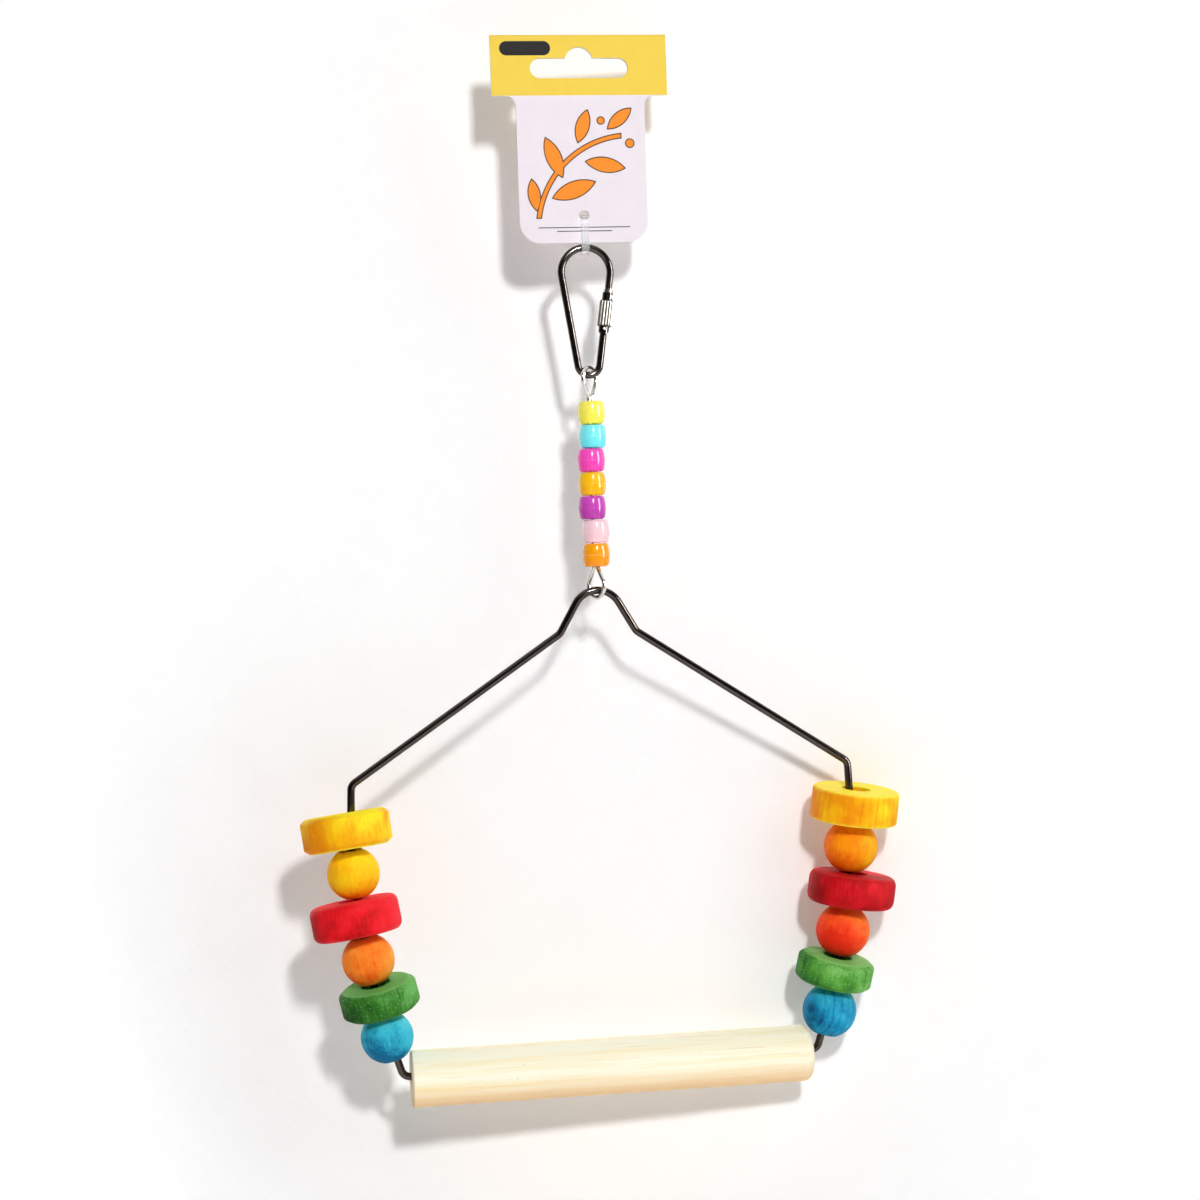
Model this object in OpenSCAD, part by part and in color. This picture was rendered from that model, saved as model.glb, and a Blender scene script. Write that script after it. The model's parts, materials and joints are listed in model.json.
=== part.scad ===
// Hanging bird swing: a folded header card, a tied snap hook, a beaded link,
// a bent wire frame with stacks of wooden rings and balls, and a dowel perch.
// The origin is the centre of the arch in the card's hang slot, where the peg bears.
// X runs along the perch, Y from the front to the back and Z upwards.

/* [Header card] */
// Width of the band that holds the hang slot
band_w = 57.4; // [52:0.2:66]
// Height of the band, from the fold to the panel
band_h = 19.6; // [16:0.2:26]
// Width of the panel below the band
panel_w = 42; // [30:0.5:50]
// Height of the panel
panel_h = 47.6; // [40:0.2:60]
// Radius of the panel's lower corners
panel_corner_r = 7; // [2:0.5:12]
// Thickness of one leaf of the folded card
leaf_t = 0.4; // [0.3:0.05:0.5]
// Gap between the two leaves
leaf_gap = 0.8; // [0.5:0.1:1]
// Length of the hang slot
slot_w = 32; // [26:0.5:38]
// Height of the hang slot
slot_h = 6.5; // [5.5:0.1:8]
// Radius of the arch over the slot, which sits on the peg
arch_r = 4.55; // [4:0.05:5]
// Height of the arch above the slot's upper edge
arch_rise = 3.55; // [3:0.05:4]
// Height of the card above the arch
arch_to_fold = 4.05; // [3:0.05:6]
// Diameter of the punched hole for the tie
tie_hole_d = 3.4; // [3.2:0.1:4]
// Height of that hole above the card's lower edge
tie_hole_up = 8.8; // [7:0.1:12]

/* [Cable tie] */
// Width of the strap
tie_w = 2.4; // [2:0.1:2.5]
// Thickness of the strap
tie_t = 0.9; // [0.7:0.1:1]
// Inner radius of the closed loop's two round ends
tie_loop_r = 1.6; // [1.5:0.1:2]
// Width of the ratchet head
tie_head_w = 4.4; // [4:0.1:5]
// Depth of the ratchet head
tie_head_t = 3.2; // [2.8:0.1:3.6]
// Height of the ratchet head
tie_head_h = 3.8; // [3:0.1:4.5]
// Length of the cut tail that stands out of the head
tie_tail = 1.4; // [0.5:0.1:2]

/* [Snap hook] */
// Diameter of the hook's wire
hook_wire_d = 2.3; // [2:0.1:2.6]
// Height of the hook, measured along the middle of its wire
hook_h = 41.3; // [40:0.1:50]
// Radius of the wide bend at the top
hook_top_r = 8; // [7:0.1:10]
// Radius of the tight bend at the bottom
hook_bottom_r = 3.6; // [3.4:0.1:4]
// Diameter of the gate
gate_d = 3.4; // [3.2:0.1:3.8]
// Length of the gate above its hinge pin
gate_up = 11.7; // [11:0.1:13]
// Distance from the top bend down the leg to the hinge pin
hinge_down = 17.4; // [17:0.1:19]
// Diameter of the collar round the hook's nose
nose_collar_d = 3.1; // [2.8:0.1:3.1]
// Outer diameter of the knurled lock nut
nut_d = 4.9; // [4.6:0.1:6]
// Length of the lock nut
nut_len = 8.5; // [7:0.1:9]
// Height of the nut above the hinge pin while unlocked
nut_up = 0.7; // [0.5:0.1:0.9]
// Number of ridges round the nut
nut_ridges = 20; // [12:1:24]

/* [Beaded link] */
// Diameter of the link's wire
link_wire_d = 1.5; // [1.3:0.1:1.6]
// Radius of each eye, measured to the middle of the wire
eye_r = 3.8; // [3.6:0.1:4]
// Height of each eye, from the beads to the far side of its wire's middle
eye_h = 9.7; // [9:0.1:12]
// Turn of the upper eye out of the swing's own plane, left side to the front, in degrees
upper_eye_turn = 49; // [46:1:70]
// Turn of the lower eye out of the swing's own plane, right side to the front, in degrees
lower_eye_turn = 58; // [52:1:70]
// Length of each wire end that is tucked into the end beads
tail_len = 5; // [3:0.5:6.5]
// Outer diameter of a bead
bead_d = 8.9; // [8:0.1:10]
// Height of a bead
bead_h = 7.5; // [6:0.1:8]
// Diameter of a bead's hole
bead_bore_d = 4; // [3.9:0.1:4.6]
// Free play of the beads along the link
bead_slack = 1; // [0.5:0.1:2]

/* [Swing frame] */
// Diameter of the frame's wire
frame_wire_d = 2.45; // [2.2:0.05:2.5]
// Radius of the crest bend that hangs in the lower eye
crest_r = 8; // [7:0.5:10]
// Slope of the crest's sides, in degrees
crest_slope = 60; // [55:1:65]
// Depth of the crest, down to where the legs spread
crest_h = 13.7; // [12:0.1:16]
// Bend radius where the crest meets the legs
neck_bend_r = 4; // [2:0.5:6]
// Distance between the frame's two shoulders
shoulder_w = 163.6; // [150:0.2:180]
// Drop from the crest to the shoulders
shoulder_drop = 59.6; // [50:0.2:70]
// Bend radius at the shoulders
shoulder_bend_r = 3; // [2:0.5:5]
// Outward lean of the posts just below the shoulders, in degrees
post_lean_top = 3; // [1:0.5:5]
// Inward lean of the posts at the perch, in degrees
post_lean_foot = 17.5; // [16:0.5:20]
// Radius of the posts' bow
bow_r = 232; // [220:1:240]
// Height of the frame, from the crest to the perch pins
frame_h = 154.5; // [153:0.5:165]
// Bend radius where the posts turn into the perch
foot_bend_r = 3; // [2.6:0.1:4]
// Length of wire that reaches into the perch
pin_len = 12; // [8:0.5:16]

/* [Perch] */
// Diameter of the perch
perch_d = 18.4; // [16:0.2:20]
// Diameter of the holes in the perch's ends
perch_hole_d = 4.5; // [4.2:0.1:5.5]
// Depth of those holes
perch_hole_depth = 18; // [17:0.5:24]
// Rounding of the perch's left end
perch_round_left = 0.8; // [0.4:0.1:3]
// Rounding of the perch's right end
perch_round_right = 3; // [0.4:0.1:3.5]

/* [Wooden rings and balls] */
// Diameter of the yellow and red rings
ring_d = 28.8; // [26:0.2:30]
// Height of the yellow and red rings on the left post
left_ring_h = 11.6; // [10:0.1:12.6]
// Height of the yellow and red rings on the right post
right_ring_h = 10.8; // [10:0.1:12]
// Diameter of the green rings
small_ring_d = 25.4; // [22:0.2:28]
// Height of the green rings
small_ring_h = 9.6; // [9:0.1:10]
// Diameter of the rings' bores
ring_bore_d = 9.4; // [9:0.1:9.8]
// Diameter of the balls on the left post
left_ball_d = 17; // [16.4:0.1:18]
// Diameter of the balls on the right post
right_ball_d = 17.8; // [16.6:0.1:18.2]
// Diameter of the balls' bores
ball_bore_d = 6.6; // [6.4:0.1:7.2]
// Edge radius of the red rings
red_round_r = 2.2; // [0.8:0.1:3]
// Edge radius of the right yellow ring
yellow_round_r = 1; // [0.6:0.1:3]
// Width of the bevel on the bevelled rings
ring_bevel = 2; // [0.8:0.1:3]

/* [Clearances] */
// Gap between wires that hang in each other
hang_gap = 0.3; // [0.25:0.05:0.35]
// Gap between pieces that lie on each other
seat_gap = 0.2; // [0.15:0.05:0.25]
// Radial gap of pins and sliding sleeves
fit_gap = 0.05; // [0.03:0.01:0.08]

/* [Hidden] */
$fn = 64;

// How far every cut runs past the face that it opens
overrun = 1;
// A wire swells this much in diameter at its bends, and its straight runs reach
// this far into them
bend_swell = 0.02;
bend_lap = 0.05;

// Header card
card_t = 2 * leaf_t + leaf_gap;
fold_r = card_t / 2;
card_top_z = arch_r + arch_to_fold;
fold_z = card_top_z - fold_r;
slot_z = arch_r - arch_rise - slot_h / 2;
band_z = card_top_z - band_h;
card_bottom_z = band_z - panel_h;
tie_hole_z = card_bottom_z + tie_hole_up;
band_fillet_r = panel_corner_r / 2;
hook_top_z = card_bottom_z - hang_gap - hook_wire_d / 2;

// Cable tie: the strap lies on the hole's lower edge, and the hook lies in the loop
tie_edge_z = tie_hole_z - sqrt(pow(tie_hole_d / 2, 2) - pow(tie_w / 2, 2));
tie_sag = tie_loop_r - sqrt(pow(tie_loop_r, 2) - pow(card_t / 2, 2));
tie_top_z = tie_edge_z + seat_gap + tie_sag - tie_loop_r;
tie_bottom_z = hook_top_z - hook_wire_d / 2 - hang_gap + tie_loop_r;
tie_head_y = card_t / 2 + hang_gap;
tie_head_z = (tie_top_z + tie_bottom_z) / 2;
tie_head_corner_r = tie_head_t / 4;

// Snap hook: two bends joined by two straight legs
hook_top_c = [0, hook_top_z - hook_top_r];
hook_bottom_c = [0, hook_top_z - hook_h + hook_bottom_r];
leg_lean = asin((hook_top_r - hook_bottom_r) / (hook_top_c[1] - hook_bottom_c[1]));
leg_side = [cos(leg_lean), -sin(leg_lean)];
leg_down = [-sin(leg_lean), -cos(leg_lean)];
leg_start = hook_top_c + hook_top_r * leg_side;
leg_end = hook_bottom_c + hook_bottom_r * leg_side;
hinge_at = leg_start + hinge_down * leg_down;

// Gate parts, measured up the leg from the hinge pin
tongue_t = hook_wire_d / 2;
tongue_gap = 2 * fit_gap;
hinge_pin_r = 0.45;
heel_r = hook_wire_d / 2;
ear_r = gate_d / 2 + tongue_gap;
shoulder_z = -ear_r - hang_gap;
nose_z = gate_up + seat_gap;
nose_collar_h = 0.9;
nose_tongue = 2;
latch_pin_r = 0.4;
latch_z = gate_up - nose_tongue / 2;
latch_half = gate_d / 2 - 2 * fit_gap - hinge_pin_r / 2;
latch_drop = 0.3;
gate_bore_d = gate_d - 1.4;
nose_slot_low = gate_up - nose_tongue - 5 * tongue_gap;
gate_bore_top = nose_slot_low - (gate_d - gate_bore_d) / 2;
plunger_d = gate_bore_d - 2 * fit_gap;
plunger_z = heel_r + tongue_gap;
plunger_len = 2.2;
spring_wire_d = 0.28;
spring_turns = 6;
spring_sides = 6;
spring_rings = 10;
spring_r = plunger_d / 2 - spring_wire_d / 2 - fit_gap;
spring_z = plunger_z + plunger_len + spring_wire_d / 2 + fit_gap;
spring_h = gate_bore_top - spring_wire_d / 2 - fit_gap - spring_z;
nut_ridge_h = nut_d / 20;
nut_wall = (nut_d - gate_d) / 2 - fit_gap;
nut_chamfer = nut_wall / 2;

// Beaded link: a turned eye meets a bend on its two sides, so it rides a little
// clear of the bend's middle. The wire leans inside the beads from one eye's side
// to the other's, between two knees
eye_ride = 0.42;
eye_top_z = hook_top_z - hook_h + (hook_wire_d + link_wire_d) / 2 + hang_gap + eye_ride;
eye_side_t = 1.1;
eye_taper_r = 3;
neck_bend = 1.6;
stem_u = (link_wire_d + seat_gap) / 2;
knee_len = 6;
bead_count = 7;
bead_pitch = bead_h + seat_gap;
neck_gap = 2 * seat_gap;
top_neck_z = eye_top_z - eye_h;
beads_top_z = top_neck_z - neck_gap - bead_slack;
beads_bottom_z = beads_top_z - bead_count * bead_pitch + seat_gap;
bottom_neck_z = beads_bottom_z - neck_gap;
eye_bottom_z = bottom_neck_z - eye_h;
bead_bulge_r = 11.8;
bead_rim_r = 0.7;
bead_mid_steps = 10;
// How far each bead has slid to the right, from the lowest up, as shares of the
// room round the wire
bead_side_shares = [0.2, 0.32, -0.4, -0.2, -0.25, 0.3, 0.2];

// Swing frame, right half, from the crest down to the pin in the perch
crest_z = eye_bottom_z + (link_wire_d + frame_wire_d) / 2 + hang_gap + eye_ride / 4;
crest_half = crest_r * tan(crest_slope / 2) + bend_lap;
neck_half = crest_half + crest_h / tan(crest_slope);
shoulder_at = [shoulder_w / 2, crest_z - shoulder_drop];
bow_turn = post_lean_top + post_lean_foot;
bow_reach = bow_r * tan(bow_turn / 2);
post_top_run = shoulder_bend_r;
bow_corner = shoulder_at + (bow_reach + post_top_run) * [sin(post_lean_top), -cos(post_lean_top)];
pin_z = crest_z - frame_h;
post_foot_len = (bow_corner[1] - pin_z) / cos(post_lean_foot);
foot_at = bow_corner - post_foot_len * [sin(post_lean_foot), cos(post_lean_foot)];
foot_reach = foot_bend_r * tan((90 - post_lean_foot) / 2);
pin_end_x = foot_at[0] - foot_reach - pin_len;
frame_half = [
    [crest_half, crest_z],
    [neck_half, crest_z - crest_h],
    shoulder_at,
    bow_corner,
    foot_at,
    [pin_end_x, pin_z]
];
frame_bends = [crest_r, neck_bend_r, shoulder_bend_r, bow_r, foot_bend_r, 0];

// Perch: it hangs on the pins by the upper side of its holes
perch_z = pin_z - (perch_hole_d - frame_wire_d) / 2 + seat_gap;
perch_half = foot_at[0] - foot_reach - seat_gap;

// Stacks, from the perch upwards: blue ball, green ring, orange ball, red ring,
// amber ball and yellow ring. A ball sinks into the rim of a ring's bore.
post_foot_run = post_foot_len - bow_reach;
// Own lean of each piece away from the wire's direction, in degrees
stack_leans = [-2, -1, 1.5, 2, 4.5, 7];
// Lean of each piece towards the front, in degrees
left_nods = [0, 5, 0, -5, 0, -6];
right_nods = [1, 6, 1, 1, 1, 5];
// How far each piece hangs outward of the wire, as shares of the room in its bore
stack_side_shares = [0.3, -0.2, -0.1, 0.35, 0.1, 0.46];

// Angle of an XZ direction, and the straight points of a bent wire
function heading(v) = atan2(v[1], v[0]);
function unit(v) = v / norm(v);
function mirrored(pts) = [for (i = [len(pts) - 1 : -1 : 0]) [-pts[i][0], pts[i][1]]];
function reversed(list) = [for (i = [len(list) - 1 : -1 : 0]) list[i]];

// Signed turn of a path at its corner i, between -180 and 180 degrees
function turn_at(pts, i) =
    let (a = pts[i] - pts[i - 1], b = pts[i + 1] - pts[i])
    atan2(a[0] * b[1] - a[1] * b[0], a * b);

// Length that a bend of radius r takes from each side of corner i
function bend_reach(pts, r, i) =
    i == 0 || i == len(pts) - 1 ? 0 : r * tan(abs(turn_at(pts, i)) / 2);

// Point on the right post at length s above its foot corner, and its outward lean there
function post_lean(s) = post_lean_foot - max(0, s - post_foot_run) / bow_r * 180 / PI;
function post_point(s) =
    let (
        straight = min(s, post_foot_run),
        start = foot_at + straight * [sin(post_lean_foot), cos(post_lean_foot)],
        now = post_lean(s)
    )
    start + bow_r * [cos(now) - cos(post_lean_foot), sin(post_lean_foot) - sin(now)];

// Sizes of the stack on the side 1, right, or -1, left
function ball_size(side) = side > 0 ? right_ball_d : left_ball_d;
function ring_size(side, i) = i == 1 ? small_ring_h : side > 0 ? right_ring_h : left_ring_h;
function end_round(side) = side > 0 ? perch_round_right : perch_round_left;

// Length along the post at which the lowest ball clears the perch's end by the seat gap
function foot_gap(s, side) =
    let (round_r = end_round(side))
    norm(post_point(s) - [perch_half - round_r, perch_z + perch_d / 2 - round_r])
    - ball_size(side) / 2 - round_r;
function ball_rest(side, low, high, steps = 24) =
    steps == 0 ? high
    : let (mid = (low + high) / 2)
        foot_gap(mid, side) > seat_gap
            ? ball_rest(side, low, mid, steps - 1)
            : ball_rest(side, mid, high, steps - 1);

// Point of a ring's bore rim, seen from its centre, at angle a and height h
function rim_point(h, a, lean, nod) =
    let (
        r = ring_bore_d / 2,
        x = r * cos(a),
        y = r * sin(a) * cos(nod) - h * sin(nod),
        z = r * sin(a) * sin(nod) + h * cos(nod)
    )
    [x * cos(lean) + z * sin(lean), y, z * cos(lean) - x * sin(lean)];

// Least gap between the ball and the ring's bore rim, of piece i and the one below it
function stack_gap(side, i, s, below_s) =
    let (
        is_ring = i % 2 == 1,
        ring = is_ring ? i : i - 1,
        ring_s = is_ring ? s : below_s,
        apart = (is_ring ? 1 : -1) * (stack_at(i, s) - stack_at(i - 1, below_s)),
        h = (is_ring ? -1 : 1) * ring_size(side, ring) / 2
    )
    min([
        for (a = [0 : 15 : 345])
            norm(
                rim_point(h, a, stack_lean(ring, ring_s), stack_nod(side, ring))
                + [apart[0], 0, apart[1]]
            )
    ]) - ball_size(side) / 2;

// Length along the post at which piece i rests on the one below it with the seat gap
function stack_rest(side, i, below_s, low, high, steps = 24) =
    steps == 0 ? high
    : let (mid = (low + high) / 2)
        stack_gap(side, i, mid, below_s) > seat_gap
            ? stack_rest(side, i, below_s, low, mid, steps - 1)
            : stack_rest(side, i, below_s, mid, high, steps - 1);

// Length along the post at which piece i of a stack has its centre
function stack_s(side, i) =
    i == 0
        ? ball_rest(side, 0, 2 * ball_size(side))
        : let (
            below_s = stack_s(side, i - 1),
            low = below_s + ring_size(side, i % 2 == 1 ? i : i - 1) / 2
        )
            stack_rest(side, i, below_s, low, low + ball_size(side));

function bore_d(i) = i % 2 == 0 ? ball_bore_d : ring_bore_d;
function side_step(i) = stack_side_shares[i] * (bore_d(i) - frame_wire_d) / 2;
function stack_lean(i, s) = post_lean(s) + stack_leans[i];
function stack_nod(side, i) = side > 0 ? right_nods[i] : left_nods[i];
function stack_at(i, s) =
    post_point(s) + side_step(i) * [cos(post_lean(s)), -sin(post_lean(s))];

// Least gap of the spring to itself, between points a full turn apart
function spring_point(k) =
    let (a = 360 * k / spring_rings)
    [spring_r * cos(a), spring_r * sin(a), spring_z + spring_h * k / (spring_turns * spring_rings)];
spring_gap = min([
    for (k = [0 : (spring_turns - 1) * spring_rings])
        norm(spring_point(k + spring_rings) - spring_point(k)) - spring_wire_d
]);
echo(spring_gap = spring_gap);

// Straight round rod between two points of the XZ plane, run on past each end by a lap
module rod(a, b, d, lap_a = bend_lap, lap_b = bend_lap) {
    start = a - lap_a * unit(b - a);
    translate([start[0], 0, start[1]])
        rotate([0, 90 - heading(b - a), 0])
            cylinder(d = d, h = norm(b - a) + lap_a + lap_b);
}

// Bend of a round wire about a point of the XZ plane, from one angle through a sweep
module bend(c, r, from, sweep, d) {
    translate([c[0], 0, c[1]])
        rotate([90, 0, 0])
            rotate([0, 0, from])
                rotate_extrude(angle = sweep)
                    translate([r, 0])
                        circle(d = d + bend_swell);
}

// Round wire along a path in the XZ plane, with each corner bent to its own radius
module bent_wire(pts, radii, d) {
    last = len(pts) - 1;
    for (i = [1 : last]) {
        along = unit(pts[i] - pts[i - 1]);
        rod(
            pts[i - 1] + along * bend_reach(pts, radii[i - 1], i - 1),
            pts[i] - along * bend_reach(pts, radii[i], i),
            d,
            i == 1 ? 0 : bend_lap,
            i == last ? 0 : bend_lap
        );
    }
    for (i = [1 : last - 1]) {
        along = unit(pts[i] - pts[i - 1]);
        turn = turn_at(pts, i);
        side = sign(turn) * [-along[1], along[0]];
        centre = pts[i] - along * bend_reach(pts, radii[i], i) + radii[i] * side;
        bend(centre, radii[i], heading(-side) + min(turn, 0), abs(turn), d);
    }
}

// Flat outline in the XZ plane, given thickness behind its front face at y
module slab(y, t) {
    translate([0, y + t, 0])
        rotate([90, 0, 0])
            linear_extrude(t)
                children();
}

// Quarter of a round edge, inside the corner of a profile
module edge_quarter(r) {
    intersection() {
        circle(r);
        square(r);
    }
}

// Half profile of a turned piece with its lower and upper edges rounded
module turned_profile(r, h, low_r, high_r) {
    difference() {
        square([r, h]);
        translate([r - low_r, -overrun])
            square([low_r + overrun, low_r + overrun]);
        translate([r - high_r, h - high_r])
            square([high_r + overrun, high_r + overrun]);
    }
    translate([r - low_r, low_r])
        mirror([0, 1])
            edge_quarter(low_r);
    translate([r - high_r, h - high_r])
        edge_quarter(high_r);
}

module hang_slot_outline() {
    translate([-(slot_w - slot_h) / 2, slot_z - slot_h / 2])
        square([slot_w - slot_h, slot_h]);
    for (side = [-1, 1])
        translate([side * (slot_w - slot_h) / 2, slot_z])
            circle(d = slot_h);
    circle(r = arch_r);
}

module card_outline() {
    inner_w = panel_w - 2 * panel_corner_r;
    difference() {
        union() {
            translate([-band_w / 2, band_z])
                square([band_w, fold_z - band_z]);
            translate([-panel_w / 2, card_bottom_z + panel_corner_r])
                square([panel_w, panel_h - panel_corner_r]);
            translate([-inner_w / 2, card_bottom_z])
                square([inner_w, panel_corner_r]);
            for (side = [-1, 1]) {
                translate([side * inner_w / 2, card_bottom_z + panel_corner_r])
                    circle(panel_corner_r);
                translate([side * (panel_w / 2 + band_fillet_r), band_z - band_fillet_r])
                    mirror([side > 0 ? 1 : 0, 0])
                        difference() {
                            square(band_fillet_r);
                            circle(band_fillet_r);
                        }
            }
        }
        hang_slot_outline();
        translate([0, tie_hole_z])
            circle(d = tie_hole_d);
    }
}

module header_card() {
    color([0.96, 0.82, 0.3]) {
        slab(-card_t / 2, leaf_t)
            card_outline();
        slab(card_t / 2 - leaf_t, leaf_t)
            card_outline();
        translate([-band_w / 2, 0, fold_z])
            rotate([90, 0, 90])
                linear_extrude(band_w)
                    difference() {
                        circle(fold_r);
                        circle(fold_r - leaf_t);
                        translate([-fold_r - overrun, -fold_r - overrun])
                            square([2 * (fold_r + overrun), fold_r + overrun]);
                    }
    }
}

// Closed loop of strap with round ends, in a plane whose axes become Y and Z
module tie_loop_outline(r) {
    for (z = [tie_top_z, tie_bottom_z])
        translate([0, z])
            circle(r);
    translate([-r, tie_bottom_z])
        square([2 * r, tie_top_z - tie_bottom_z]);
}

module tie_head_outline() {
    inner = [tie_head_w, tie_head_t] - 2 * tie_head_corner_r * [1, 1];
    for (x = [-1, 1], y = [-1, 1])
        translate([x * inner[0] / 2, y * inner[1] / 2])
            circle(tie_head_corner_r);
    square([tie_head_w, inner[1]], center = true);
    square([inner[0], tie_head_t], center = true);
}

module cable_tie() {
    tail_y = tie_head_y + tie_head_t - 2 * tie_t;
    color([0.95, 0.96, 0.98]) {
        translate([-tie_w / 2, 0, 0])
            rotate([90, 0, 90])
                linear_extrude(tie_w)
                    difference() {
                        tie_loop_outline(tie_loop_r + tie_t);
                        tie_loop_outline(tie_loop_r);
                    }
        translate([0, tie_head_y + tie_head_t / 2, tie_head_z - tie_head_h / 2])
            linear_extrude(tie_head_h)
                tie_head_outline();
        translate([-tie_w / 2, tail_y, tie_head_z])
            cube([tie_w, tie_t, tie_head_h / 2 + tie_tail]);
    }
}

// Places its children on the gate: the hinge pin is the origin and the leg runs up
module on_leg() {
    translate([hinge_at[0], 0, hinge_at[1]])
        rotate([0, leg_lean, 0])
            children();
}

// Pin along Y, centred on the leg's middle plane
module cross_pin(r, half) {
    rotate([90, 0, 0])
        translate([0, 0, -half])
            cylinder(r = r, h = 2 * half);
}

// Wire end pressed flat between two heights
module flat_tongue(low, high) {
    intersection() {
        translate([0, 0, low])
            cylinder(d = hook_wire_d - tongue_gap, h = high - low);
        translate([-hook_wire_d, -tongue_t / 2, low])
            cube([2 * hook_wire_d, tongue_t, high - low]);
    }
}

module hook_body() {
    wire_up = hinge_down;
    wire_down = norm(leg_end - leg_start) - hinge_down;
    left_side = [-leg_side[0], leg_side[1]];
    color([0.72, 0.7, 0.68]) {
        bend(hook_top_c, hook_top_r, -leg_lean, 180 + 2 * leg_lean, hook_wire_d);
        bend(hook_bottom_c, hook_bottom_r, 180 + leg_lean, 180 - 2 * leg_lean, hook_wire_d);
        rod(
            hook_top_c + hook_top_r * left_side,
            hook_bottom_c + hook_bottom_r * left_side,
            hook_wire_d
        );
        on_leg() {
            difference() {
                union() {
                    translate([0, 0, nose_z])
                        cylinder(d = hook_wire_d, h = wire_up - nose_z + bend_lap);
                    translate([0, 0, nose_z])
                        cylinder(d = nose_collar_d, h = nose_collar_h);
                    flat_tongue(gate_up - nose_tongue, nose_z + nose_collar_h / 2);
                }
                translate([0, 0, latch_z])
                    cross_pin(latch_pin_r, hook_wire_d);
            }
            difference() {
                union() {
                    translate([0, 0, -wire_down - bend_lap])
                        cylinder(d = hook_wire_d, h = wire_down + bend_lap + shoulder_z);
                    flat_tongue(shoulder_z - nose_collar_h / 2, 0);
                    cross_pin(heel_r, tongue_t / 2);
                }
                cross_pin(hinge_pin_r + fit_gap, hook_wire_d);
            }
        }
    }
}

module hook_gate() {
    slot_t = tongue_t + 2 * tongue_gap;
    latch_low = latch_z - latch_pin_r - tongue_gap - latch_drop;
    latch_high = latch_z + latch_pin_r + tongue_gap;
    color([0.66, 0.64, 0.62])
        on_leg()
            difference() {
                intersection() {
                    translate([0, 0, -ear_r])
                        cylinder(d = gate_d, h = ear_r + gate_up);
                    union() {
                        cross_pin(ear_r, gate_d);
                        translate([-gate_d, -gate_d, 0])
                            cube([2 * gate_d, 2 * gate_d, gate_up]);
                    }
                }
                // Slot for the tongue at the hinge
                translate([-gate_d, -slot_t / 2, -ear_r - overrun])
                    cube([2 * gate_d, slot_t, ear_r + overrun + heel_r + tongue_gap]);
                cross_pin(hinge_pin_r, gate_d);
                // Bore for the spring and the plunger
                cylinder(d = gate_bore_d, h = gate_bore_top);
                // Slot and notch that let the nose and its pin out sideways
                translate([-hook_wire_d / 2 - tongue_gap, -slot_t / 2, nose_slot_low])
                    cube([2 * gate_d, slot_t, gate_up - nose_slot_low + overrun]);
                translate([-latch_pin_r - tongue_gap, -latch_half - tongue_gap, latch_low])
                    cube([2 * gate_d, 2 * (latch_half + tongue_gap), latch_high - latch_low]);
            }
}

module gate_hinge_pin() {
    color([0.8, 0.8, 0.8])
        on_leg()
            cross_pin(hinge_pin_r, gate_d / 2 - 2 * fit_gap);
}

module gate_latch_pin() {
    color([0.8, 0.8, 0.8])
        on_leg()
            translate([0, 0, latch_z])
                cross_pin(latch_pin_r, latch_half);
}

module gate_plunger() {
    color([0.8, 0.78, 0.7])
        on_leg()
            translate([0, 0, plunger_z])
                cylinder(d = plunger_d, h = plunger_len);
}

// Round wire swept along the spring's helix, each ring square to the run
module gate_spring() {
    count = spring_turns * spring_rings;
    rise = atan2(spring_h, 2 * PI * spring_r * spring_turns);
    points = [
        for (k = [0 : count], j = [0 : spring_sides - 1])
            let (
                a = 360 * k / spring_rings,
                b = 360 * j / spring_sides,
                out = [cos(a), sin(a), 0],
                up = [sin(a) * sin(rise), -cos(a) * sin(rise), cos(rise)]
            )
            spring_point(k) + spring_wire_d / 2 * (cos(b) * out + sin(b) * up)
    ];
    sides = [
        for (k = [0 : count - 1], j = [0 : spring_sides - 1])
            let (
                p = k * spring_sides + j,
                q = k * spring_sides + (j + 1) % spring_sides
            )
            each [[p, p + spring_sides, q], [q, p + spring_sides, q + spring_sides]]
    ];
    last = count * spring_sides;
    caps = [
        for (j = [1 : spring_sides - 2])
            each [[0, j, j + 1], [last, last + j + 1, last + j]]
    ];
    color([0.75, 0.75, 0.75])
        on_leg()
            polyhedron(points, concat(sides, caps));
}

module lock_nut() {
    nut_r = nut_d / 2;
    bore_r = gate_d / 2 + fit_gap;
    ridge_points = [
        for (k = [0 : 2 * nut_ridges - 1])
            let (a = 180 * k / nut_ridges, r = nut_r - (k % 2) * nut_ridge_h)
            r * [cos(a), sin(a)]
    ];
    color([0.78, 0.76, 0.74])
        on_leg()
            translate([0, 0, nut_up])
                difference() {
                    intersection() {
                        linear_extrude(nut_len)
                            polygon(ridge_points);
                        rotate_extrude()
                            polygon([
                                [0, 0],
                                [nut_r - nut_chamfer, 0],
                                [nut_r - nut_chamfer + nut_len / 2, nut_len / 2],
                                [nut_r - nut_chamfer, nut_len],
                                [0, nut_len]
                            ]);
                    }
                    translate([0, 0, -overrun])
                        cylinder(r = bore_r, h = nut_len + 2 * overrun);
                }
}

// One eye in its own plane, from its tail inside the end bead round to its knee.
// The far side of the eye is at tip_z, and up is 1 for the upper eye, -1 for the lower
module link_eye(tip_z, neck_z, bead_z, up) {
    widest = eye_r + eye_side_t;
    eye_bend = eye_r - bend_lap;
    bent_wire(
        [
            [stem_u, bead_z - up * tail_len],
            [stem_u, neck_z],
            [eye_r, tip_z - up * widest],
            [eye_r, tip_z],
            [-eye_r, tip_z],
            [-eye_r, tip_z - up * widest],
            [-stem_u, neck_z],
            [-stem_u, bead_z - up * knee_len]
        ],
        [0, neck_bend, eye_taper_r, eye_bend, eye_bend, eye_taper_r, neck_bend, 0],
        link_wire_d
    );
}

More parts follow.
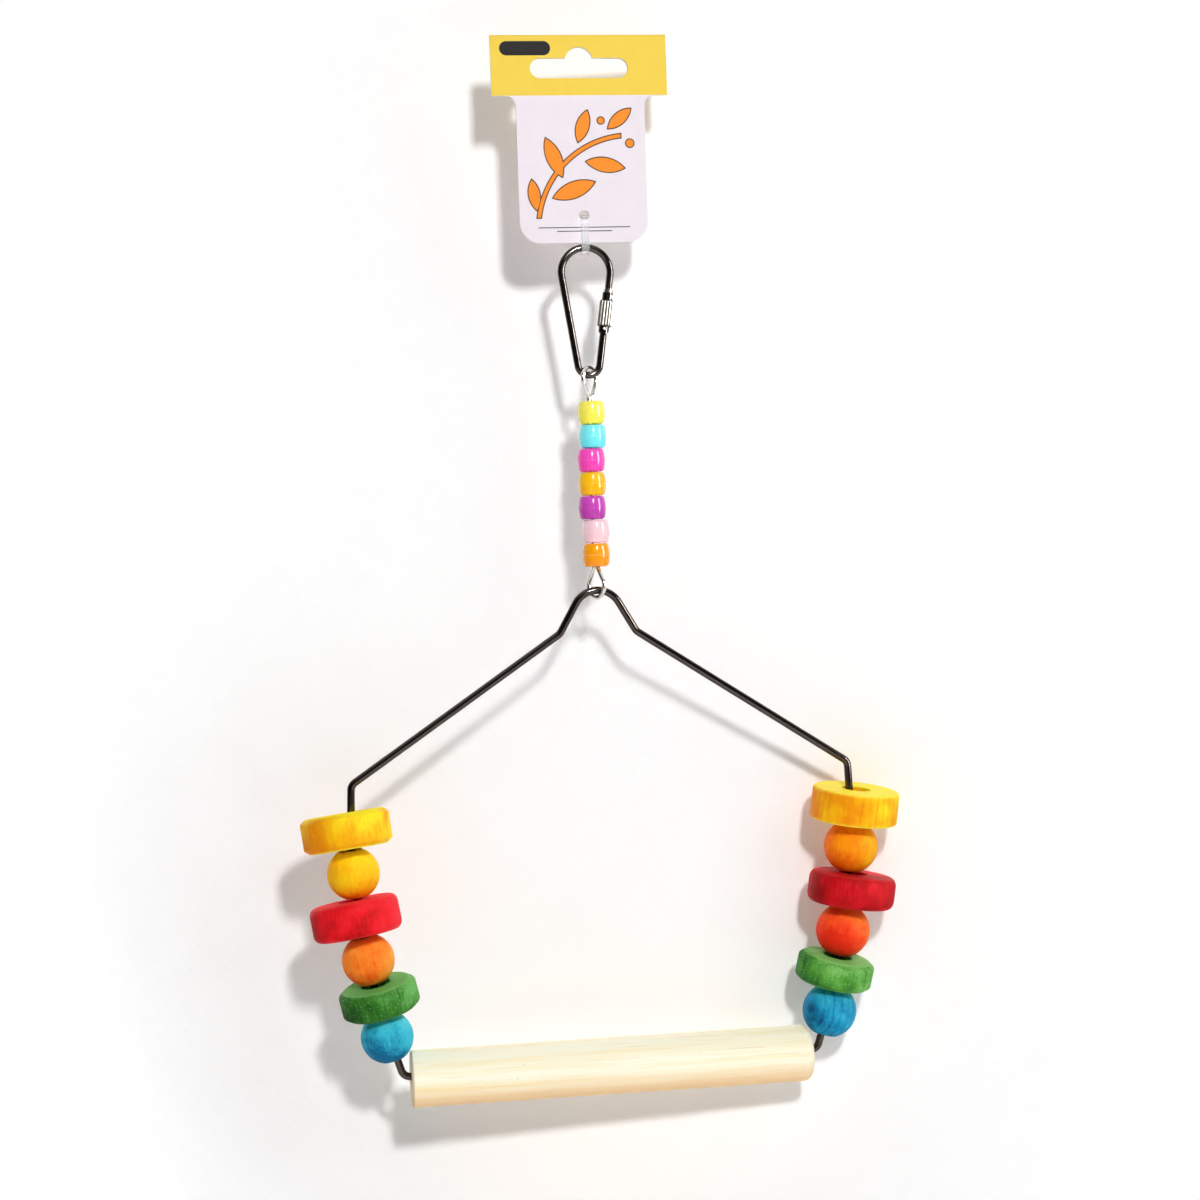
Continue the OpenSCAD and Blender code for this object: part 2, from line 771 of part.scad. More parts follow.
// One wire: it starts inside the top bead, goes round the upper eye, down through
// the beads, round the lower eye and ends inside the bottom bead
module bead_link() {
    top_knee = [
        -stem_u * cos(upper_eye_turn), -stem_u * sin(upper_eye_turn), beads_top_z - knee_len
    ];
    low_knee = [
        -stem_u * cos(lower_eye_turn), stem_u * sin(lower_eye_turn), beads_bottom_z + knee_len
    ];
    run = top_knee - low_knee;
    color([0.82, 0.81, 0.78]) {
        rotate([0, 0, upper_eye_turn])
            link_eye(eye_top_z, top_neck_z, beads_top_z, 1);
        rotate([0, 0, -lower_eye_turn])
            link_eye(eye_bottom_z, bottom_neck_z, beads_bottom_z, -1);
        for (knee = [top_knee, low_knee])
            translate(knee)
                sphere(d = link_wire_d + bend_swell);
        translate(low_knee)
            rotate([0, acos(run[2] / norm(run)), atan2(run[1], run[0])])
                cylinder(d = link_wire_d, h = norm(run));
    }
}

// Radius of a bead at height z: a shallow bulge whose two rims are rounded off
function bead_r(z) =
    let (rim = bead_rim_r - min(bead_rim_r, z, bead_h - z))
    bead_d / 2 - bead_bulge_r + sqrt(pow(bead_bulge_r, 2) - pow(z - bead_h / 2, 2))
    - bead_rim_r + sqrt(pow(bead_rim_r, 2) - pow(rim, 2));

// Barrel-shaped bead, counted from the bottom of the link
module pony_bead(index) {
    bore_r = bead_bore_d / 2;
    rims = [for (a = [0 : 15 : 90]) bead_rim_r * (1 - cos(a))];
    middle = [
        for (k = [1 : bead_mid_steps - 1])
            bead_rim_r + k / bead_mid_steps * (bead_h - 2 * bead_rim_r)
    ];
    heights = concat(rims, middle, [for (z = reversed(rims)) bead_h - z]);
    side = bead_side_shares[index] * (bead_bore_d - link_wire_d) / 2;
    translate([side, 0, beads_bottom_z + index * bead_pitch])
        rotate_extrude()
            polygon(concat(
                [[bore_r, 0]],
                [for (z = heights) [bead_r(z), z]],
                [[bore_r, bead_h]]
            ));
}

module bead_orange() {
    color([0.96, 0.5, 0.1]) pony_bead(0);
}

module bead_pink() {
    color([0.95, 0.72, 0.8]) pony_bead(1);
}

module bead_violet() {
    color([0.45, 0.2, 0.6]) pony_bead(2);
}

module bead_amber() {
    color([0.98, 0.75, 0.1]) pony_bead(3);
}

module bead_magenta() {
    color([0.9, 0.1, 0.45]) pony_bead(4);
}

module bead_aqua() {
    color([0.2, 0.75, 0.75]) pony_bead(5);
}

module bead_lemon() {
    color([0.95, 0.9, 0.25]) pony_bead(6);
}

module swing_frame() {
    color([0.6, 0.58, 0.56])
        bent_wire(
            concat(mirrored(frame_half), frame_half),
            concat(reversed(frame_bends), frame_bends),
            frame_wire_d
        );
}

module perch() {
    color([0.95, 0.87, 0.68])
        translate([0, 0, perch_z])
            difference() {
                translate([-perch_half, 0, 0])
                    rotate([0, 90, 0])
                        rotate_extrude()
                            turned_profile(
                                perch_d / 2, 2 * perch_half, perch_round_left, perch_round_right
                            );
                for (side = [-1, 1])
                    translate([side * (perch_half - perch_hole_depth), 0, 0])
                        rotate([0, side * 90, 0])
                            cylinder(d = perch_hole_d, h = perch_hole_depth + overrun);
            }
}

// Turned wooden ring with rounded edges, centred on its own middle
module rounded_ring(d, h, round_r) {
    difference() {
        translate([0, 0, -h / 2])
            rotate_extrude()
                turned_profile(d / 2, h, round_r, round_r);
        translate([0, 0, -h / 2 - overrun])
            cylinder(d = ring_bore_d, h = h + 2 * overrun);
    }
}

// Turned wooden ring with bevelled edges, centred on its own middle
module bevelled_ring(d, h) {
    r = d / 2;
    rise = ring_bevel * 3 / 4;
    difference() {
        translate([0, 0, -h / 2])
            rotate_extrude()
                polygon([
                    [0, 0], [r - ring_bevel, 0], [r, rise],
                    [r, h - rise], [r - ring_bevel, h], [0, h]
                ]);
        translate([0, 0, -h / 2 - overrun])
            cylinder(d = ring_bore_d, h = h + 2 * overrun);
    }
}

module bored_ball(d) {
    difference() {
        sphere(d = d);
        translate([0, 0, -d / 2 - overrun])
            cylinder(d = ball_bore_d, h = d + 2 * overrun);
    }
}

// Places a piece on the right post, or with side -1 on the left one
module on_post(side, i) {
    s = stack_s(side, i);
    at = stack_at(i, s);
    translate([side * at[0], 0, at[1]])
        rotate([0, side * stack_lean(i, s), 0])
            rotate([stack_nod(side, i), 0, 0])
                children();
}

module left_blue_ball() {
    color([0.13, 0.65, 0.85]) on_post(-1, 0) bored_ball(left_ball_d);
}

module left_green_ring() {
    color([0.25, 0.6, 0.21]) on_post(-1, 1) bevelled_ring(small_ring_d, small_ring_h);
}

module left_orange_ball() {
    color([0.95, 0.48, 0.13]) on_post(-1, 2) bored_ball(left_ball_d);
}

module left_red_ring() {
    color([0.84, 0.12, 0.19]) on_post(-1, 3) rounded_ring(ring_d, left_ring_h, red_round_r);
}

module left_amber_ball() {
    color([0.98, 0.68, 0.09]) on_post(-1, 4) bored_ball(left_ball_d);
}

module left_yellow_ring() {
    color([0.98, 0.78, 0.15]) on_post(-1, 5) bevelled_ring(ring_d, left_ring_h);
}

module right_blue_ball() {
    color([0.13, 0.59, 0.78]) on_post(1, 0) bored_ball(right_ball_d);
}

module right_green_ring() {
    color([0.28, 0.64, 0.27]) on_post(1, 1) bevelled_ring(small_ring_d, small_ring_h);
}

module right_orange_ball() {
    color([0.93, 0.3, 0.11]) on_post(1, 2) bored_ball(right_ball_d);
}

module right_red_ring() {
    color([0.81, 0.12, 0.18]) on_post(1, 3) rounded_ring(ring_d, right_ring_h, red_round_r);
}

module right_amber_ball() {
    color([0.96, 0.57, 0.06]) on_post(1, 4) bored_ball(right_ball_d);
}

module right_yellow_ring() {
    color([0.97, 0.8, 0.12]) on_post(1, 5) rounded_ring(ring_d, right_ring_h, yellow_round_r);
}

header_card();
cable_tie();
hook_body();
hook_gate();
gate_hinge_pin();
gate_latch_pin();
gate_plunger();
gate_spring();
lock_nut();
bead_link();
bead_lemon();
bead_aqua();
bead_magenta();
bead_amber();
bead_violet();
bead_pink();
bead_orange();
swing_frame();
perch();
left_yellow_ring();
left_amber_ball();
left_red_ring();
left_orange_ball();
left_green_ring();
left_blue_ball();
right_yellow_ring();
right_amber_ball();
right_red_ring();
right_orange_ball();
right_green_ring();
right_blue_ball();
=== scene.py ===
"""Looks, light and camera for the hanging bird swing."""

import json
import math

import bpy
import numpy as np
from mathutils import Matrix, Vector


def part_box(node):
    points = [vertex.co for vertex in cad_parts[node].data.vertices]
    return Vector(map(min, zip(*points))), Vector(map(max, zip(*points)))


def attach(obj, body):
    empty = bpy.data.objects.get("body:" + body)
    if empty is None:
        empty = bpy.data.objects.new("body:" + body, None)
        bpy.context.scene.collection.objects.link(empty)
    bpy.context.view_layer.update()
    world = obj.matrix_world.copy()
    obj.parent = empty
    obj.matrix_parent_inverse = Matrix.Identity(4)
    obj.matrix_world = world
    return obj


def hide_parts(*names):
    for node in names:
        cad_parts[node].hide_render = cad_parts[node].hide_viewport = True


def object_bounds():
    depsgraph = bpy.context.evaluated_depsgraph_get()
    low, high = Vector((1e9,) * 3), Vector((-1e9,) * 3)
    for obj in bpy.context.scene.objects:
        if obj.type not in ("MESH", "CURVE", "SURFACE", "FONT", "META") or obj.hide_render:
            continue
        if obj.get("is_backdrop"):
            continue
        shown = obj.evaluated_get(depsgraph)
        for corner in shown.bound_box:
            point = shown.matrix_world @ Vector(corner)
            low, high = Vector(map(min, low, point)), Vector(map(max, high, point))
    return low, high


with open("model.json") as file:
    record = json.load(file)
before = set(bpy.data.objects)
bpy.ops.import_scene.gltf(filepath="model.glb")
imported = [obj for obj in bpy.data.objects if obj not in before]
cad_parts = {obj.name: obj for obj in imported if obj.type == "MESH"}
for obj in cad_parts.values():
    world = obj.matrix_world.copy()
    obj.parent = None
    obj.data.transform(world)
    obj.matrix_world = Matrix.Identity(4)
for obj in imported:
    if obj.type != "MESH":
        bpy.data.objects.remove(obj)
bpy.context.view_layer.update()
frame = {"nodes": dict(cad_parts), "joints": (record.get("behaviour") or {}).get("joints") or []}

MM = 0.001
TURN = 2 * math.pi
nodes = frame["nodes"]
joints = {j["name"]: j for j in frame["joints"]}


# ---------------------------------------------------------------- surfaces
# Outlines are in mm, and the grids made of them are in metres.


def quads(rows, columns, wrap_rows):
    """Corner numbers of a grid's faces. Columns always close round; rows close if told to."""
    r = np.arange(rows if wrap_rows else rows - 1)[:, None]
    c = np.arange(columns)[None, :]
    r2, c2 = (r + 1) % rows, (c + 1) % columns
    faces = np.stack(np.broadcast_arrays(
        r * columns + c, r * columns + c2, r2 * columns + c2, r2 * columns + c), -1)
    return faces.reshape(-1, 4)


def piece(name, points, body, replaced, finish, wrap_rows=True):
    """Object from a grid of points, rows by columns. Rows that don't close are ended by a
    fan to the middle of their last ring. Faces are turned outwards by the sign of the
    enclosed volume, which is the sum of a . (b x c) over the grid's corners."""
    rows, columns = points.shape[:2]
    verts = points.reshape(-1, 3)
    faces = quads(rows, columns, wrap_rows).tolist()
    if not wrap_rows:
        poles = np.stack([points[0].mean(0), points[-1].mean(0)])
        c = np.arange(columns)
        first, last = rows * columns, rows * columns + 1
        end = (rows - 1) * columns
        faces += np.stack([c * 0 + first, (c + 1) % columns, c], -1).tolist()
        faces += np.stack([c * 0 + last, end + c, end + (c + 1) % columns], -1).tolist()
        verts = np.concatenate([verts, poles])
    corner, beside, above = points[:-1, :-1], points[:-1, 1:], points[1:, :-1]
    volume = np.einsum("ijk,ijk->", corner - verts.mean(0),
                       np.cross(beside - corner, above - corner))
    if volume < 0:
        faces = [f[::-1] for f in faces]
    mesh = bpy.data.meshes.new(name)
    mesh.from_pydata(verts.tolist(), [], faces)
    mesh.polygons.foreach_set("use_smooth", np.ones(len(mesh.polygons), bool))
    mesh.update()
    obj = bpy.data.objects.new(name, mesh)
    bpy.context.scene.collection.objects.link(obj)
    mesh.materials.append(finish)
    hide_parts(replaced)
    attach(obj, body)
    return obj


def onto(axis):
    """Turn that takes Z onto an axis."""
    return Vector((0, 0, 1)).rotation_difference(Vector(axis)).to_matrix()


def placed(local, centre, axis):
    """Points of a piece's own frame, whose Z becomes the axis, moved to its centre."""
    return local @ np.array(onto(axis)).T + np.array(centre)


def revolved(profile, around):
    """Grid of a profile of (radius, height) turned about Z: r cos a, r sin a, h."""
    angle = np.linspace(0, TURN, around, endpoint=False)
    r, h = profile[:, 0:1], profile[:, 1:2]
    return np.stack([r * np.cos(angle), r * np.sin(angle), h + 0 * angle], -1)


def eased(corners, reach, steps):
    """Closed outline whose corners are replaced by parabolas: with a and b the points
    at a given reach on both sides of corner c, each is (1-t)^2 a + 2t(1-t) c + t^2 b."""
    c = np.array(corners, float)
    before, after = np.roll(c, 1, 0) - c, np.roll(c, -1, 0) - c
    reach = np.array(reach)[:, None]
    a = c + before / np.linalg.norm(before, axis=1, keepdims=True) * reach
    b = c + after / np.linalg.norm(after, axis=1, keepdims=True) * reach
    t = np.linspace(0, 1, steps)[None, :, None]
    curve = (1 - t) ** 2 * a[:, None] + 2 * t * (1 - t) * c[:, None] + t**2 * b[:, None]
    return curve.reshape(-1, 2)


def dense(outline, longest, closed=True):
    """Outline with points added on its long straight runs, at even lengths along it. A
    new point that would fall close to an old one is left out."""
    c = np.concatenate([outline, outline[:1]]) if closed else np.asarray(outline, float)
    run = np.concatenate([[0], np.linalg.norm(np.diff(c, axis=0), axis=1).cumsum()])
    extra = np.arange(longest, run[-1], longest)
    extra = extra[np.abs(extra[:, None] - run).min(1) > longest * 0.3]
    at = np.sort(np.concatenate([run[:-1] if closed else run, extra]))
    return np.stack([np.interp(at, run, c[:, 0]), np.interp(at, run, c[:, 1])], -1)


def uneven(local, seed, depth):
    """Radius times 1 - d (1 + s) / 2, with s = sin(2a + k) cos(3z / z_max + k): a turned
    piece is never quite round. The change is only inwards."""
    angle = np.arctan2(local[..., 1], local[..., 0])
    height = local[..., 2] / np.abs(local[..., 2]).max()
    wave = np.sin(2 * angle + seed * 1.7) * np.cos(3 * height + seed)
    out = local.copy()
    out[..., :2] *= (1 - depth * (1 + wave) / 2)[..., None]
    return out


def ball_outline(radius, bore, ease):
    """Arc of the ball from one mouth to the other, a small round at each mouth and the
    bore's wall: the rounds touch the ball from inside and the bore from outside."""
    mouth_r = bore + ease
    mouth_z = math.sqrt((radius - ease) ** 2 - mouth_r**2)
    edge = math.atan2(mouth_z, mouth_r)
    arc = np.linspace(-edge, edge, 65)
    turn = np.linspace(edge, math.pi, 9)[1:]
    outer = np.stack([radius * np.cos(arc), radius * np.sin(arc)], -1)
    mouth = np.stack([mouth_r + ease * np.cos(turn), mouth_z + ease * np.sin(turn)], -1)
    wall = np.linspace(mouth_z, -mouth_z, 12)[1:-1]
    return np.concatenate([outer, mouth, np.stack([wall * 0 + bore, wall], -1),
                           mouth[::-1] * (1, -1)])


# --------------------------------------------------------------- materials


class Value:
    """A socket of a node tree, with arithmetic that adds Math nodes."""

    def __init__(self, shading, socket):
        self.shading, self.socket = shading, socket

    def math(self, operation, a, b=None):
        inputs = {0: a} if b is None else {0: a, 1: b}
        return self.shading.node("ShaderNodeMath", {"operation": operation}, inputs)

    def __add__(self, other):
        return self.math("ADD", self, other)

    def __radd__(self, other):
        return self.math("ADD", other, self)

    def __sub__(self, other):
        return self.math("SUBTRACT", self, other)

    def __rsub__(self, other):
        return self.math("SUBTRACT", other, self)

    def __mul__(self, other):
        return self.math("MULTIPLY", self, other)

    def __rmul__(self, other):
        return self.math("MULTIPLY", other, self)

    def __abs__(self):
        return self.math("ABSOLUTE", self)

    def __lt__(self, other):
        return self.math("LESS_THAN", self, other)

    def __gt__(self, other):
        return self.math("GREATER_THAN", self, other)

    def low(self, other):
        return self.math("MINIMUM", self, other)

    def high(self, other):
        return self.math("MAXIMUM", self, other)

    def sine(self):
        return self.math("SINE", self)


class Shading:
    """A node tree, emptied, and the nodes that the looks are made of."""

    def __init__(self, tree):
        self.tree = tree
        tree.nodes.clear()

    def put(self, socket, value):
        if isinstance(value, Value):
            self.tree.links.new(value.socket, socket)
        elif socket.type == "RGBA" and len(value) == 3:
            socket.default_value = (*value, 1)
        else:
            socket.default_value = value

    def node(self, kind, settings=None, inputs=None, out=0):
        """Adds any node: its settings first, then values or links for its sockets."""
        node = self.tree.nodes.new(kind)
        for key, value in (settings or {}).items():
            if key == "stops":
                ramp = node.color_ramp
                while len(ramp.elements) < len(value):
                    ramp.elements.new(0.5)
                for element, (at, colour) in zip(ramp.elements, value):
                    element.position, element.color = at, (*colour, 1)
            else:
                setattr(node, key, value)
        for key, value in (inputs or {}).items():
            self.put(node.inputs[key], value)
        return Value(self, node.outputs[out])

    def end(self, kind, shader):
        """Ends the tree in a shader."""
        self.put(self.tree.nodes.new(kind).inputs[0], shader)

    def blend(self, share, a, b):
        """Mix of two shaders: a for a share of 0, b for a share of 1."""
        return self.node("ShaderNodeMixShader", {}, {0: share, 1: a, 2: b})

    def ray(self, kind):
        return self.node("ShaderNodeLightPath", out=f"Is {kind} Ray")

    def place(self, centre=(0, 0, 0), turn=(0, 0, 0)):
        """Object coordinates seen from a piece's own frame."""
        coordinates = self.node("ShaderNodeTexCoord", out="Object")
        return self.node("ShaderNodeMapping", {"vector_type": "TEXTURE"}, {
            "Vector": coordinates, "Location": centre, "Rotation": turn})

    def axes(self, vector):
        node = self.tree.nodes.new("ShaderNodeSeparateXYZ")
        self.put(node.inputs[0], vector)
        return [Value(self, s) for s in node.outputs]

    def stretched(self, vector, scale):
        return self.node("ShaderNodeVectorMath", {"operation": "MULTIPLY"},
                         {0: vector, 1: scale})

    def shifted(self, vector, offset):
        return self.node("ShaderNodeVectorMath", {"operation": "ADD"}, {0: vector, 1: offset})

    def reach(self, parts):
        """Length of a vector, given its parts by the number of their axis."""
        vector = self.node("ShaderNodeCombineXYZ", {}, parts)
        return self.node("ShaderNodeVectorMath", {"operation": "LENGTH"}, {0: vector}, out=1)

    def noise(self, vector, scale, detail=3.0, roughness=0.5, distortion=0.0):
        return self.node("ShaderNodeTexNoise", {}, {
            "Vector": vector, "Scale": scale, "Detail": detail, "Roughness": roughness,
            "Distortion": distortion})

    def grain(self, vector, scale, detail=3.0, roughness=0.5):
        """Noise with its own scale along each axis, per metre."""
        return self.noise(self.stretched(vector, scale), 1, detail, roughness)

    def between(self, value, low, high, to_low=0.0, to_high=1.0):
        """Smooth step from to_low to to_high while the value runs from low to high."""
        return self.node("ShaderNodeMapRange", {"interpolation_type": "SMOOTHSTEP"}, {
            "Value": value, "From Min": low, "From Max": high,
            "To Min": to_low, "To Max": to_high})

    def ramp(self, value, *stops):
        return self.node("ShaderNodeValToRGB", {"stops": stops}, {0: value})

    def mix(self, mask, a, b):
        """Mix of two colours: a where the mask is 0, b where it is 1."""
        return self.node("ShaderNodeMix", {"data_type": "RGBA"}, {0: mask, 6: a, 7: b}, out=2)


class Finish(Shading):
    """A material round one Principled shader."""

    def __init__(self, name, **constants):
        self.material = bpy.data.materials.new(name)
        self.material.use_nodes = True
        super().__init__(self.material.node_tree)
        self.shader = self.tree.nodes.new("ShaderNodeBsdfPrincipled")
        self.end("ShaderNodeOutputMaterial", Value(self, self.shader.outputs[0]))
        for key, value in constants.items():
            self.feed(key.replace("_", " ").title().replace("Ior", "IOR"), value)

    def feed(self, name, value):
        self.put(self.shader.inputs[name], value)

    def bump(self, height, depth, strength):
        """Surface relief: depth is in metres for a height from 0 to 1."""
        self.feed("Normal", self.node("ShaderNodeBump", {}, {
            "Height": height, "Distance": depth, "Strength": strength}))


def shade(colour, factor):
    return tuple(min(1.0, c * factor) for c in colour)


def toward(colour, other, share):
    return tuple(c + (o - c) * share for c, o in zip(colour, other))


def dyed_wood(name, tones, centre, axis, pith, half, seed, lines, specks, painted_face_light):
    """Dyed wood turned along its grain. Growth rings are cylinders about a pith beside
    the piece, so they show as arcs on its faces and as faint upright streaks round it.
    Fibres run along the bore, the dye takes in blotches with fine pale and dark specks,
    and the edges are rubbed lighter. Painted shade makes the tone deeper to the lower
    left, and painted light lifts the flat faces lighter. A ball has no flat face: its half
    height is given as its diameter."""
    dark, middle, light = tones
    radius, half_height = half
    pith_off, ring_gap, ring_wander = 21 * MM, 2.6 * MM, 3.5 * MM
    chalk = (1, 1, 0.7)
    f = Finish(name, specular_ior_level=0.06)
    own = f.place(centre, onto(axis).to_euler())
    x, y, z = f.axes(own)
    far = f.shifted(own, (seed * 0.37, seed * 0.11, seed * 0.23))
    warp = f.grain(far, (90, 90, 30), 2)
    away = f.reach({0: x - math.cos(pith) * pith_off, 1: y - math.sin(pith) * pith_off})
    bands = f.between(((away + warp * ring_wander) * (TURN / ring_gap)).sine(), 0.1, 1.0)
    fibre = f.grain(far, (2300, 2300, 170), 4, 0.65)
    fine = f.grain(far, (6000, 6000, 600), 2, 0.7)
    grit = f.noise(far, 1750, 2, 0.6)
    blotch = f.noise(far, 95, 4, 0.55, 0.2)
    patch = f.noise(far, 48, 2)
    tone = (blotch - 0.5) * 1.25 + (patch - 0.5) * 0.8 + (fibre - 0.5) * 0.5
    face = f.between(abs(z), half_height * 0.88, half_height * 0.97)
    # Painted shade and light: the tone falls towards the lower left, and the flat faces are
    # lifted lighter.
    tone = tone - bands * lines + face * painted_face_light + (x * 0.2 + z * 0.13) * (1 / radius) + 0.5
    colour = f.ramp(tone, (0.2, dark), (0.5, middle), (0.8, light))
    corner = radius * half_height
    rim = f.between(f.reach({0: x, 1: y}) * abs(z), corner * 0.8, corner * 0.9)
    colour = f.mix((rim * 0.45 * (0.2 + fibre)).low(0.45), colour, toward(light, chalk, 0.12))
    colour = f.mix(f.between(grit, 0.28, 0.44, 1.0, 0.0) * specks, colour, dark)
    colour = f.mix(f.between(grit, 0.56, 0.72) * specks, colour, toward(light, chalk, 0.3))
    f.feed("Base Color", colour)
    f.feed("Roughness", 0.45 + fibre * 0.2 + blotch * 0.1)
    f.bump(fibre * 0.5 + fine * 0.2 + grit * 0.4 - bands * 0.15, 0.14 * MM, 0.5)
    return f.material


def pine(name):
    """Bare pine dowel: growth rings about a pith beside the dowel, seen as long stripes on
    its side and as arcs on its ends, with fine fibres along X and a few resin flecks. A
    warmer, redder tone along its underside is painted shade. The cut ends are a little darker."""
    pith_y, pith_z, ring_gap, ring_wander = 6 * MM, -13 * MM, 2.9 * MM, 5 * MM
    pale, deep, underside_shade_tone = (0.97, 0.95, 0.76), (0.94, 0.8, 0.44), (0.88, 0.56, 0.26)
    dark_fibre, resin, end_grain = (0.74, 0.5, 0.24), (0.42, 0.25, 0.11), (0.55, 0.4, 0.26)
    f = Finish(name, specular_ior_level=0.22)
    own = f.place(tuple(perch_middle))
    x, y, z = f.axes(own)
    drift = f.grain(own, (9, 70, 70))
    away = f.reach({1: y - pith_y, 2: z - pith_z})
    bands = f.between(((away + drift * ring_wander) * (TURN / ring_gap)).sine(), 0.0, 1.0)
    fibre = f.grain(own, (45, 1700, 1700), 4, 0.62)
    fine = f.grain(own, (240, 5600, 5600), 2, 0.6)
    tint = f.grain(own, (16, 120, 120))
    streak = f.grain(f.shifted(own, (3.1, 0.4, 0.2)), (13, 330, 330))
    body = bands * 0.4 + (fibre - 0.4) * 0.95 + (streak - 0.5) * 2.0 + (tint - 0.5) * 0.5
    colour = f.mix(body.high(0.0).low(1.0), pale, deep)
    # Painted shade: the underside is mixed towards a warmer, redder tone.
    painted_underside_shade = f.between(z + tint * (6 * MM) + fibre * (1.5 * MM), -5.5 * MM, 5.2 * MM, 1.0, 0.0)
    colour = f.mix(painted_underside_shade * 0.85, colour, underside_shade_tone)
    dark = f.between(f.grain(own, (55, 2300, 2300)), 0.58, 0.76)
    colour = f.mix(dark * 0.42, colour, dark_fibre)
    fleck = f.between(f.grain(own, (420, 2000, 2000), 1), 0.77, 0.8)
    colour = f.mix(fleck * 0.45, colour, resin)
    cut = f.between(abs(x), (perch_half - 0.6) * MM, (perch_half - 0.2) * MM)
    f.feed("Base Color", f.mix(cut * 0.45, colour, end_grain))
    f.feed("Roughness", 0.55 + fine * 0.2)
    f.bump(fibre * 0.6 + fine * 0.4, 0.12 * MM, 0.6)
    return f.material


def nickel(name, tint, rough, edge=(1, 1, 1), ring=None):
    """Plated wire: drawing marks, small pits and a faint haze. The edge is the tint at a
    grazing angle. A ring is a band left bright on one leg, given by a point, the leg's
    direction and the band's two ends along it, in mm."""
    f = Finish(name, metallic=1.0, specular_tint=edge)
    own = f.place()
    marks = f.grain(own, (2600, 2600, 240), 3, 0.6)
    haze = f.noise(own, 160, 3, 0.6)
    pits = f.between(f.noise(own, 3800, 2), 0.66, 0.75)
    colour = f.mix(haze, shade(tint, 1.1), shade(tint, 0.85))
    colour = f.mix(pits * 0.4, colour, shade(tint, 0.6))
    if ring:
        start, along, low_end, high_end = ring
        one_leg = 6 * MM
        x, y, z = f.axes(f.shifted(own, tuple(-c for c in start)))
        run = x * along[0] + z * along[2]
        band = (run > low_end * MM) * (run < high_end * MM) * (abs(x) < one_leg)
        colour = f.mix(band, colour, (0.8, 0.77, 0.72))
    f.feed("Base Color", colour)
    f.feed("Roughness", rough + haze * 0.06 + marks * 0.05)
    f.bump(marks * 0.7 - pits * 0.4, 0.02 * MM, 0.5)
    return f.material


def bead_plastic(name, colour, deep, centre, line):
    """Moulded plastic: swirls of deeper colour, with faint flow marks and a paler line where
    the mould's halves met. The colour is deeper still towards the lower rim: painted shade."""
    f = Finish(name, coat_weight=0.1, coat_roughness=0.04, specular_ior_level=0.3)
    own = f.place(centre)
    x, y, z = f.axes(own)
    cloud = f.noise(own, 260, 3, 0.5, 0.8)
    flow = f.grain(own, (420, 420, 1500), 2)
    # Painted shade: the colour deepens towards the lower rim.
    low = f.between(z, -3.5 * MM, 2.5 * MM, 1.0, 0.0)
    body = f.mix((cloud * 0.45 + flow * 0.15 + low * 0.4).low(1.0), colour, deep)
    off_seam = abs(z + (cloud - 0.5) * (0.2 * MM))
    seam = f.between(off_seam, 0.04 * MM, 0.16 * MM, 1.0, 0.0)
    f.feed("Base Color", f.mix(seam * line, body, toward(colour, (1, 1, 1), 0.5)))
    f.feed("Roughness", 0.13 + flow * 0.08 + cloud * 0.05)
    f.bump(cloud + flow * 0.25, 0.05 * MM, 0.35)
    return f.material


def clear_nylon(name):
    """See-through nylon with a slightly wavy surface."""
    f = Finish(name, base_color=(0.95, 0.96, 0.97), roughness=0.22,
               transmission_weight=0.85, ior=1.45)
    f.bump(f.noise(f.place(), 900, 3), 0.05 * MM, 0.4)
    return f.material


